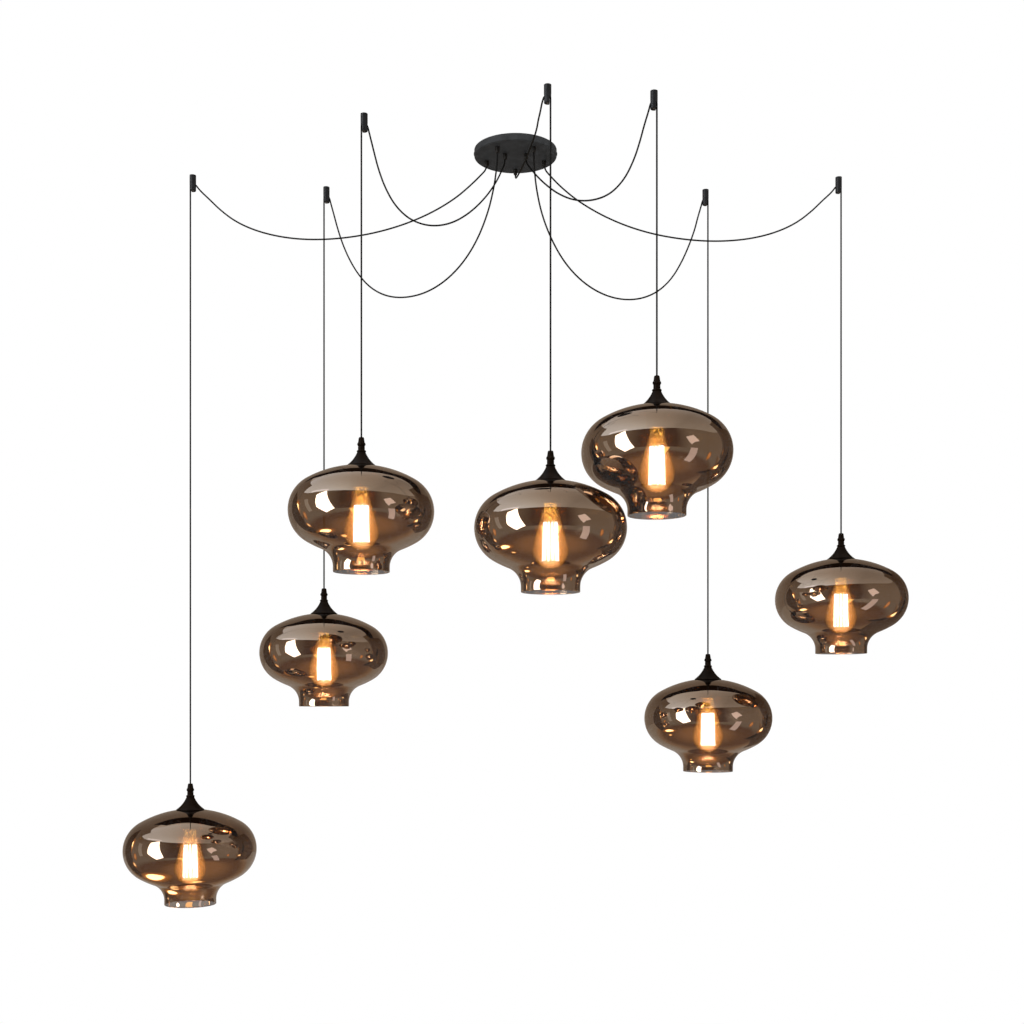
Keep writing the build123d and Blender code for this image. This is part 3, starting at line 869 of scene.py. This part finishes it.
def makeHolder():
    settings = holderSettings
    edge = settings["edge"]
    outer = settings["radius"]
    socket = settings["socketRadius"]
    boss = settings["bossRadius"]
    hole = settings["nippleRadius"] + settings["play"]
    socketTop = holderLow + settings["socketDepth"]
    threadLow = holderLow + settings["plainFoot"]
    threadHigh = holderSeat + settings["above"]
    outline = [(socket, holderLow + edge), (socket + edge, holderLow)]
    outline += arcPoints((outer - edge, holderLow + edge), edge, -90, 0, steps=4)
    outline += threadedSide(outer, settings["threadDepth"], threadLow, threadHigh, settings["threads"])
    outline += [(outer - settings["shoulder"], holderTop), (boss, holderTop)]
    outline += [(boss, bossTop - edge), (boss - edge, bossTop), (hole, bossTop), (hole, socketTop)]
    outline += [(socket, socketTop), outline[0]]
    return turnPiece("holder", outline, settings["sides"], "blackMoulding")


def makeRing():
    settings = holderSettings
    edge = settings["edge"]
    top = domeHeight(settings["ringRadius"], shadeSettings["wall"]) - seatGap
    low = top - settings["ringHeight"]
    inner = settings["radius"] + settings["play"]
    outer = settings["ringRadius"]
    outline = [(inner, top), (outer - edge, top)]
    outline += arcPoints((outer - edge, top - edge), edge, 90, 0, steps=3)
    outline += arcPoints((outer - edge, low + edge), edge, 0, -90, steps=3)
    outline += [(inner + edge, low), (inner, low + edge), (inner, top)]
    ring = turnPiece("ring", outline, 2 * settings["sides"], "blackMoulding")
    pullInFlutes(ring, low - edge, top + edge, settings["ringFlutes"], inner + 3 * edge)
    return ring


def makeNipple():
    settings = holderSettings
    bore = settings["nippleBore"]
    low = bossTop - settings["nippleHold"]
    high = capTop + settings["nippleGrip"]
    outline = [(bore, low)]
    outline += threadedSide(
        settings["nippleRadius"], settings["nippleThread"], low, high, settings["nippleTurns"]
    )
    outline += [(bore, high), outline[0]]
    smooth = settings["nippleSmooth"]
    return turnPiece("nipple", outline, settings["nippleSides"], "zincPlate", smoothAngle=smooth)


hangCopies(makeHolder(), "lampHolder", "lamp_holder")
hangCopies(makeRing(), "shadeRing", "lamp_holder")
hangCopies(makeNipple(), "hangingNipple", "lamp_holder")


# Bulb: drop-shaped envelope, screw base, and a cage of long filaments on a glass stem
bulbSettings = {
    "radius": 0.032,
    "low": -0.0703,
    "taper": 15.2,
    "neckRadius": 0.0123,
    "neckArc": 0.03,
    "glass": 0.0008,
    "baseRadius": 0.0132,
    "baseWall": 0.0008,
    "baseHeight": 0.025,
    "baseCup": 0.008,
    "baseShow": 0.001,
    "baseRim": 0.0025,  # plain, below the thread
    "baseTurns": 5,
    "baseTurnSteps": 12,
    "baseThread": 0.0008,
    "tipRadius": 0.005,
    "tipHeight": 0.0025,
    "tipSide": 0.6,  # share of the tip's height that is upright
    "tipFlat": 0.7,  # share of its radius that is flat
    "stemRadius": 0.0108,
    "stemLow": 0.013,
    "stemEase": 0.003,
    "stemGap": 0.0004,
    "stemSides": 48,
    "postThickness": 1.6,  # times a wire's
    "postBelow": 0.003,  # the cage's low end
    "tieBelow": 0.002,
    "filaments": 12,
    "filamentRadius": 0.0013,
    "wireRadius": 0.00035,
    "wireSides": 8,
    "rodSides": 12,
    "rodEdge": 0.45,  # share of a rod's radius that its rounded end takes
    "rodSmooth": 40,
    "cageTopRadius": 0.0115,
    "cageLowRadius": 0.0135,
    "cageHigh": 0.010,
    "cageLow": -0.0565,
    "sides": 96,
}
baseLow = holderLow - bulbSettings["baseShow"]
stemTop = baseLow + bulbSettings["baseCup"]


def envelopeSide(depth):
    settings = bulbSettings
    taper = radians(settings["taper"])
    centre = settings["low"] + settings["radius"]
    roundRadius = settings["radius"] - depth
    neck = settings["neckRadius"] - depth
    ease = (settings["neckArc"] + depth) * tan(taper / 2)
    side = (roundRadius * cos(taper) - neck) / sin(taper)
    cornerHeight = centre + roundRadius * sin(taper) + side * cos(taper)
    easeLow = (neck + ease * sin(taper), cornerHeight - ease * cos(taper))
    easeHigh = (neck, cornerHeight + ease)
    points = arcPoints((0, centre), roundRadius, -90, settings["taper"], steps=22)
    points += bowedPoints(easeLow, easeHigh, settings["neckArc"] + depth, steps=6)
    return points + [(neck, baseLow), (neck, stemTop - seatGap)]


def makeEnvelope():
    settings = bulbSettings
    outline = envelopeSide(0) + list(reversed(envelopeSide(settings["glass"])))
    envelope = turnPiece("envelope", outline, settings["sides"], "amberBulbGlass", "amberInnerGlass")
    centre = Vector((0, 0, settings["low"] + settings["radius"]))
    for face in envelope.data.polygons:
        away = face.center - centre if face.center.z < centre.z else Vector((*face.center.xy, 0))
        face.material_index = 1 if face.normal.dot(away) < 0 else 0
    return envelope


def makeBase():
    settings = bulbSettings
    outer = settings["baseRadius"]
    cup = outer - settings["baseWall"]
    tip = settings["tipRadius"]
    tipHeight = settings["tipHeight"]
    shellTop = baseLow + settings["baseHeight"]
    threadLow = baseLow + settings["baseRim"]
    threadTop = shellTop - tipHeight
    outline = [(0, stemTop), (cup, stemTop), (cup, baseLow), (outer, baseLow)]
    steps = settings["baseTurnSteps"] * settings["baseTurns"]
    for step in range(steps + 1):
        share = step / steps
        swell = (cos(2 * pi * settings["baseTurns"] * share) - 1) / 2 * settings["baseThread"]
        outline.append((outer + swell, threadLow + share * (threadTop - threadLow)))
    outline += [(tip, shellTop), (tip, shellTop + tipHeight * settings["tipSide"])]
    outline += [(tip * settings["tipFlat"], shellTop + tipHeight), (0, shellTop + tipHeight)]
    return turnPiece("base", outline, settings["sides"], "brassTurned")


def makeRod(name, start, end, radius, finish, sides=bulbSettings["rodSides"]):
    along = end - start
    clearSelection()
    bpy.ops.mesh.primitive_cylinder_add(
        vertices=sides, radius=radius, depth=along.length, location=(start + end) / 2,
        rotation=along.to_track_quat("Z", "Y").to_euler(),
    )
    piece = bpy.context.object
    piece.name = name
    bpy.ops.object.mode_set(mode="EDIT")
    bpy.ops.mesh.select_all(action="SELECT")
    rounding = radius * bulbSettings["rodEdge"]
    bpy.ops.mesh.bevel(offset=rounding, segments=2, affect="EDGES", clamp_overlap=True)
    bpy.ops.object.mode_set(mode="OBJECT")
    bpy.ops.object.transform_apply(location=True, rotation=True, scale=True)
    bpy.ops.object.shade_smooth_by_angle(angle=radians(bulbSettings["rodSmooth"]))
    paint(piece, finish)
    return piece


def makeCage():
    settings = bulbSettings
    ease = settings["stemEase"]
    low = settings["stemLow"]
    stemEnd = stemTop - settings["stemGap"]
    wire = settings["wireRadius"]
    up = Vector((0, 0, 1))
    outline = [(0, low)]
    outline += arcPoints((settings["stemRadius"] - ease, low + ease), ease, -90, 0, steps=6)
    outline += [(settings["stemRadius"], stemEnd), (0, stemEnd)]
    parts = [turnPiece("stem", outline, settings["stemSides"], "litStemGlass")]
    postEnd = up * (settings["cageLow"] - settings["postBelow"])
    tie = up * (settings["cageLow"] - settings["tieBelow"])
    parts.append(makeRod("post", up * low, postEnd, wire * settings["postThickness"], "zincPlate"))
    for step in range(settings["filaments"]):
        turn = 2 * pi * (step + 0.5) / settings["filaments"]
        aim = Vector((cos(turn), sin(turn), 0))
        high = aim * settings["cageTopRadius"] + up * settings["cageHigh"]
        foot = aim * settings["cageLowRadius"] + up * settings["cageLow"]
        hub = aim * (settings["stemRadius"] - ease) + up * (low + ease)
        parts.append(makeRod("filament", high, foot, settings["filamentRadius"], "glowingFilament"))
        parts.append(makeRod("upperWire", hub, high, wire, "zincPlate", settings["wireSides"]))
        parts.append(makeRod("lowerWire", tie, foot, wire, "zincPlate", settings["wireSides"]))
    return joinPieces(parts)


hangCopies(makeEnvelope(), "bulbEnvelope", "bulb")
hangCopies(makeBase(), "bulbBase", "bulb")
hangCopies(makeCage(), "filamentCage", "bulb")


# Cord glands under the canopy: ribbed, with a rounded tip
glandSettings = {
    "under": -0.013,
    "height": 0.011,
    "bodyRadius": 0.0042,
    "tipRadius": 0.0032,
    "taper": 0.0035,
    "shankRadius": 0.0031,
    "shankHeight": 0.0055,
    "boreRadius": 0.0017,
    "ribs": 4,
    "ribDepth": 0.0003,
    "ribsBelow": 0.0015,  # the canopy's underside
    "collar": 0.0012,
    "edge": 0.0005,
    "sides": 48,
}


def makeGlands():
    settings = glandSettings
    under = settings["under"]
    tip = under - settings["height"]
    edge = settings["edge"]
    bore = settings["boreRadius"]
    body = settings["bodyRadius"]
    shank = settings["shankRadius"]
    shankTop = under + settings["shankHeight"]
    ribLow = tip + settings["taper"]
    outline = [(bore, tip + edge)]
    outline += arcPoints((bore + edge, tip + edge), edge, 180, 270, steps=3)
    outline += arcPoints((settings["tipRadius"] - edge, tip + edge), edge, -90, 0, steps=4)
    ribHigh = under - settings["ribsBelow"]
    outline += threadedSide(body, settings["ribDepth"], ribLow, ribHigh, settings["ribs"])
    outline += [(body, under - settings["collar"]), (body, under), (shank, under), (shank, shankTop)]
    outline += [(bore, shankTop), outline[0]]
    gland = turnPiece("gland", outline, settings["sides"], "blackMoulding")
    copies = [copyTo(gland, f"gland{n}", (*light["gland"], 0)) for n, light in enumerate(swagRoutes, 1)]
    removePiece(gland)
    glands = joinPieces(copies)
    glands.name = "cordGlands"
    dress(glands, "ceiling_fixture", "cord_glands")


makeGlands()
print("glands placed")


# Stage: pale floor, soft lamps, and cards that only reflections see
stageSettings = {
    "floorHeight": -2.45,
    "floorRadius": 14.0,
    "floorSides": 96,
    "floorColour": (0.86, 0.86, 0.85),
    "floorFade": (1.3, 3.2),  # distance over which the floor turns to the plain white background
    "surround": 0.55,  # world light on surfaces that scatter it
    "reflectedFrom": -0.95,  # height of the shades, from which the cards' angles are taken
    "wallDistance": 7.0,
    "wallSteps": 48,
    "walls": [
        {
            "name": "frontWall", "from": 104, "to": -104, "rise": (0.539, 0.306),
            "shades": [
                (-1.0, (0.33, 0.265, 0.205)), (-0.8, (0.3, 0.235, 0.18)), (-0.45, (0.13, 0.075, 0.045)),
                (0.4, (0.13, 0.075, 0.045)), (0.7, (0.34, 0.275, 0.215)), (1.0, (0.32, 0.255, 0.195)),
            ],
        },
        {
            "name": "backWall", "from": 256, "to": 104, "rise": (0.9, 0.0),
            "shades": [(-1.0, (0.28, 0.228, 0.183)), (0.0, (0.32, 0.25, 0.19)), (1.0, (0.17, 0.128, 0.094))],
        },
    ],
    "poolMiddle": (0.0, -1.0),  # a painted pool of lamplight on the reflected floor, and its shades by distance
    "poolLift": 0.02,
    "poolShades": [
        (0.0, (0.5, 0.27, 0.125)), (0.9, (0.48, 0.26, 0.12)), (1.7, (0.23, 0.125, 0.06)),
        (2.6, (0.2, 0.11, 0.06)), (3.6, (0.31, 0.26, 0.21)), (8.0, (0.31, 0.26, 0.21)),
    ],
    # painted reflections of a back floor and a ceiling
    "sheets": [
        {
            "name": "backFloor", "x": (-7.0, 7.0), "y": (0.9, 7.0), "height": -2.41,
            "axis": "Y", "strength": 1.0,
            "shades": [
                (0.9, (0.21, 0.115, 0.06)), (1.5, (0.4, 0.26, 0.155)), (2.1, (0.42, 0.36, 0.3)),
                (7.0, (0.37, 0.33, 0.29)),
            ],
        },
        {
            "name": "ceiling", "x": (-14.0, 14.0), "y": (-14.0, 3.9), "height": 5.35,
            "axis": "X", "strength": 2.0,
            "shades": [
                (-14.0, (0.66, 0.75, 0.88)), (-5.5, (0.66, 0.75, 0.88)), (-3.0, (0.61, 0.67, 0.74)),
                (0.0, (0.48, 0.48, 0.48)), (3.4, (0.3, 0.29, 0.28)), (14.0, (0.3, 0.28, 0.26)),
            ],
        },
    ],
    "cardDistance": 6.5,
    "cardStep": 0.02,  # each card stands this much nearer than the one before, so that later ones show
    "cardLift": 0.06,  # low cards stay this far above the floor
    # painted reflections: window panes, highlights and dark patches for the glass and metal to mirror
    "cards": [
        # name, corners as azimuth to the right of the camera and elevation, colour, strength
        ("leftWindow", [(-70, 26), (-56, 36), (-37, -11), (-52, -18), (-66, -2)], (1.0, 1.0, 1.0), 8.0),
        ("leftCornice", [(-86, 29), (-56, 37), (-54, 41), (-86, 33)], (0.7, 0.8, 1.0), 3.0),
        ("leftPane", [(-92, 16), (-84, 17), (-75, -9), (-82, -10)], (1.0, 0.95, 0.9), 0.6),
        ("rightSparkle", [(38, 16), (50, 21), (58, 8), (50, 4), (46, -2), (41, 6)], (1.0, 0.9, 0.92), 1.6),
        ("rightPane", [(46, -10), (57, -9), (60, -37), (47, -36)], (1.0, 0.88, 0.92), 1.1),
        ("neckGlow", [(-15, -13), (15, -13), (12, -27), (-12, -27)], (1.0, 0.6, 0.18), 2.5),
        (
            "leftShade",
            [(-128, 26), (-114, 20), (-105, 4), (-102, -16), (-108, -38), (-121, -36), (-126, -12)],
            (0.11, 0.07, 0.042), 1.0,
        ),
        (
            "leftDark",
            [(-123, 20), (-116, 14), (-111, -6), (-110, -20), (-114, -34), (-118, -22), (-120, 2)],
            (0.035, 0.022, 0.014), 1.0,
        ),
        (
            "rightShade",
            [(112, 34), (150, 22), (156, -8), (148, -30), (116, -38), (104, -44), (108, -14), (107, 12)],
            (0.12, 0.075, 0.045), 1.0,
        ),
        (
            "rightDark",
            [(116, 26), (124, 16), (126, -6), (119, -28), (108, -41), (104, -40), (115, -20), (118, 4)],
            (0.035, 0.022, 0.014), 1.0,
        ),
        (
            "darkBeam",
            [(-138, 48), (180, 57), (121, 39), (121, 25), (180, 42), (-138, 33)],
            (0.02, 0.012, 0.008), 1.0,
        ),
    ],
    # painted glints: warm spots for the glass to mirror, standing in for other lamps
    "glints": [
        # name, azimuth and elevation of the middle, half width and height, tilt, colour, strength
        ("leftGlint", (-108, 3.5), (4, 8), 0, (1.0, 0.76, 0.42), 9.0),
        ("leftLowGlint", (-100, -44.5), (13, 4), -13, (1.0, 0.76, 0.42), 9.0),
        ("leftSmallGlint", (-122, -56.5), (5, 2), -11, (1.0, 0.64, 0.28), 4.0),
        ("leftRoundGlint", (-102, -26), (2, 2.5), 0, (1.0, 0.7, 0.36), 3.0),
        ("leftDimGlint", (-93.5, -13), (2, 4.5), 0, (1.0, 0.5, 0.2), 1.2),
        ("rightGlint", (129, 1), (3, 9), 0, (1.0, 0.76, 0.42), 8.0),
        ("rightRoundGlint", (111, 0.5), (3, 4), 0, (1.0, 0.72, 0.38), 8.0),
        ("rightLowGlint", (113, -20.5), (6, 2.5), 37, (1.0, 0.76, 0.42), 5.0),
        ("rightDimGlint", (80.5, -16.5), (2, 4), 0, (1.0, 0.45, 0.15), 1.2),
    ],
    "glintSides": 14,
    "glintGrowth": 1.9,  # a glint fades out over a warm edge, which makes it this much larger
    "glintEdge": ((1.0, 0.42, 0.1), 0.9),  # colour and strength of that edge
    "glintFade": (0.0, 0.4, 0.56),  # shares of the way in: clear, all of the edge, all of the middle
    "lamps": [
        # place, size, power
        ((-2.4, -2.8, 1.6), 2.0, 70),
        ((2.8, -2.0, 0.6), 1.8, 32),
        ((0.4, 2.6, 1.8), 1.6, 36),
    ],
    "lampAim": (0, 0, -0.7),
}
white = (1, 1, 1, 1)


def rayMask(owner):
    rays = addNode(owner, "LightPath", {})
    direct = combine(owner, "MAXIMUM", rays["Is Camera Ray"], rays["Is Glossy Ray"])
    return combine(owner, "MAXIMUM", direct, rays["Is Transmission Ray"])


def makeWorld():
    world = bpy.data.worlds.new("whiteStudio")
    scene.world = world
    world.use_nodes = True
    world.node_tree.nodes.clear()
    soft = addNode(world, "Background", {"Color": white, "Strength": stageSettings["surround"]})
    plain = addNode(world, "Background", {"Color": white, "Strength": 1.0})
    mixed = mixShaders(world, rayMask(world), soft["Background"], plain["Background"])
    addNode(world, "OutputWorld", {"Surface": mixed})


def bareMaterial(name):
    material = newMaterial(name)
    material.node_tree.nodes.clear()
    return material


def cardMaterial(name, colour, strength):
    material = bareMaterial(name)
    addNode(material, "OutputMaterial", {"Surface": emission(material, (*colour, 1), strength)})
    return material


def shadedMaterial(name, strength, shades, axis=None):
    # colours by place along an axis, or else by distance from the middle, given as (place, colour)
    material = bareMaterial(name)
    place = coordinates(material)
    value = alongAxis(material, place, axis) if axis else lengthOf(material, place)
    first = shades[0][0]
    reach = shades[-1][0] - first
    share = spread(material, value, 0, 1, (first, first + reach))
    stops = [((stop - first) / reach, colour) for stop, colour in shades]
    glow = emission(material, ramp(material, share, stops), strength)
    addNode(material, "OutputMaterial", {"Surface": glow})
    return material


def addDisc(name, sides, radius=1.0, place=(0, 0, 0), fill="NGON"):
    clearSelection()
    bpy.ops.mesh.primitive_circle_add(vertices=sides, radius=radius, fill_type=fill, location=place)
    disc = bpy.context.object
    disc.name = name
    return disc


def makeFloor():
    settings = stageSettings
    place = (0, 0, settings["floorHeight"])
    floor = addDisc("paleFloor", settings["floorSides"], settings["floorRadius"], place)
    material = bareMaterial("paleFloor")
    matt = addNode(material, "BsdfDiffuse", {"Color": (*settings["floorColour"], 1)})["BSDF"]
    away = lengthOf(material, coordinates(material))
    fade = spread(material, away, 0, 1, settings["floorFade"], interpolation_type="SMOOTHSTEP")
    share = combine(material, "MULTIPLY", fade, rayMask(material))
    mixed = mixShaders(material, share, matt, emission(material, white, 1.0))
    addNode(material, "OutputMaterial", {"Surface": mixed})
    floor.data.materials.append(material)


def onlyReflected(card, material):
    card.data.materials.append(material)
    card.visible_camera = False
    card.visible_diffuse = False
    card.visible_transmission = False
    card.visible_volume_scatter = False
    card.visible_shadow = False


def makeWall(settings):
    # painted reflection of a room's wall round the object, seen only in reflections, with its upper edge
    # highest in front
    distance = stageSettings["wallDistance"]
    floor = stageSettings["floorHeight"]
    middle = stageSettings["reflectedFrom"]
    turn = radians(settings["from"])
    wall = startPoint(settings["name"], (distance * sin(turn), -distance * cos(turn), floor))
    bpy.ops.mesh.extrude_region_move(TRANSFORM_OT_translate={"value": (0, 0, middle - floor)})
    bpy.ops.mesh.select_all(action="SELECT")
    sweep = radians(settings["from"] - settings["to"])
    bpy.ops.mesh.spin(steps=stageSettings["wallSteps"], angle=sweep, center=(0, 0, 0), axis=(0, 0, 1))
    bpy.ops.object.mode_set(mode="OBJECT")
    sideRise, frontRise = settings["rise"]
    for vertex in wall.data.vertices:
        if vertex.co.z > (middle + floor) / 2:
            vertex.co.z = middle + sideRise * distance - min(frontRise * vertex.co.y, 0)
    shades = [(x * distance, colour) for x, colour in settings["shades"]]
    onlyReflected(wall, shadedMaterial(settings["name"], 1.0, shades, "X"))


# a floor seen only in reflections, with a painted pool of lamplight
def makeMirroredFloor():
    settings = stageSettings
    x, y = settings["poolMiddle"]
    place = (x, y, settings["floorHeight"] + settings["poolLift"])
    floor = addDisc("mirroredFloor", settings["floorSides"], settings["wallDistance"] - y, place)
    onlyReflected(floor, shadedMaterial("mirroredFloor", 1.0, settings["poolShades"]))


def makeSheet(settings):
    clearSelection()
    bpy.ops.mesh.primitive_plane_add(size=2)
    sheet = bpy.context.object
    sheet.name = settings["name"]
    for vertex in sheet.data.vertices:
        x = settings["x"][1 if vertex.co.x > 0 else 0]
        y = settings["y"][1 if vertex.co.y > 0 else 0]
        vertex.co = (x, y, settings["height"])
    look = shadedMaterial(settings["name"], settings["strength"], settings["shades"], settings["axis"])
    onlyReflected(sheet, look)


def cardPlace(order, azimuth, elevation):
    step = order * stageSettings["cardStep"]
    middle = stageSettings["reflectedFrom"]
    fall = middle - stageSettings["floorHeight"] - stageSettings["cardLift"] - step
    turn = radians(azimuth)
    slope = tan(radians(elevation))
    distance = stageSettings["cardDistance"] - step
    if -slope * distance > fall:
        distance = -fall / slope
    return distance * sin(turn), -distance * cos(turn), middle + distance * slope


def makeCard(order, name, corners, colour, strength):
    card = addDisc(name, len(corners))
    for vertex, corner in zip(card.data.vertices, corners):
        vertex.co = cardPlace(order, *corner)
    onlyReflected(card, cardMaterial(name, colour, strength))


def glintMaterial(name, colour, strength):
    material = bareMaterial(name)
    edgeColour, edgeStrength = stageSettings["glintEdge"]
    clear, edge, full = stageSettings["glintFade"]
    share = attributeValue(material, "inward")
    colours = ramp(material, share, [(edge, edgeColour), (full, colour)])
    glow = emission(material, colours, spread(material, share, edgeStrength, strength, (edge, full)))
    gap = addNode(material, "BsdfTransparent", {})["BSDF"]
    mixed = mixShaders(material, spread(material, share, 0, 1, (clear, edge)), gap, glow)
    addNode(material, "OutputMaterial", {"Surface": mixed})
    return material


def makeGlint(order, name, middle, half, tilt, colour, strength):
    glint = addDisc(name, stageSettings["glintSides"], fill="TRIFAN")
    slant = radians(tilt)
    inward = glint.data.attributes.new("inward", "FLOAT", "POINT")
    for vertex in glint.data.vertices:
        inward.data[vertex.index].value = 1 - round(vertex.co.length)
        across = half[0] * stageSettings["glintGrowth"] * vertex.co.x
        up = half[1] * stageSettings["glintGrowth"] * vertex.co.y
        azimuth = middle[0] + across * cos(slant) - up * sin(slant)
        elevation = middle[1] + across * sin(slant) + up * cos(slant)
        vertex.co = cardPlace(order, azimuth, elevation)
    onlyReflected(glint, glintMaterial(name, colour, strength))


def makeLamps():
    aim = Vector(stageSettings["lampAim"])
    for number, (place, size, power) in enumerate(stageSettings["lamps"], 1):
        clearSelection()
        turn = (aim - Vector(place)).to_track_quat("-Z", "Y").to_euler()
        bpy.ops.object.light_add(type="AREA", location=place, rotation=turn)
        lamp = bpy.context.object
        lamp.name = f"softLamp{number}"
        lamp.data.size = size
        lamp.data.energy = power
        lamp.visible_glossy = False


makeWorld()
makeFloor()
for wall in stageSettings["walls"]:
    makeWall(wall)
makeMirroredFloor()
for sheet in stageSettings["sheets"]:
    makeSheet(sheet)
for order, card in enumerate(stageSettings["cards"]):
    makeCard(order, *card)
for order, glint in enumerate(stageSettings["glints"], len(stageSettings["cards"])):
    makeGlint(order, *glint)
makeLamps()
print("stage set")
